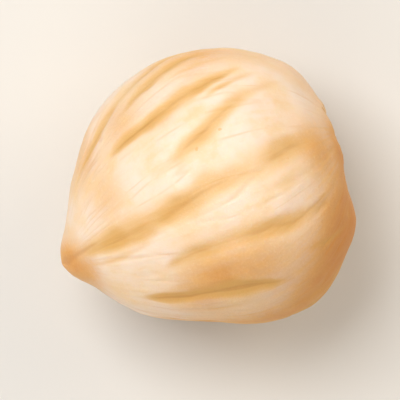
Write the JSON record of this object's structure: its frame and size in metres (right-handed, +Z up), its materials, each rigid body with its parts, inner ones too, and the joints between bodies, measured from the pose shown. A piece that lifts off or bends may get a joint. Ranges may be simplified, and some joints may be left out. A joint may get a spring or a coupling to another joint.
{
  "type": "hazelnut",
  "caption": "Blanched hazelnut kernel: a round cream-coloured nut with a broad point at one end, a scarred blunt base and shallow furrows between them, lying on its side.",
  "frame": {"origin": "centre of the footprint, on the surface that the nut lies on", "axes": "+X along the nut's long axis from the pointed tip to the blunt base, +Z up from the surface"},
  "size_m": [0.014, 0.0132, 0.0124],
  "materials": {
    "kernel_flesh": "chalky matte cream flesh with a faint waxy sheen, tan in the furrows"
  },
  "bodies": {
    "root": {"kernel": "kernel_flesh"}
  },
  "joints": []
}
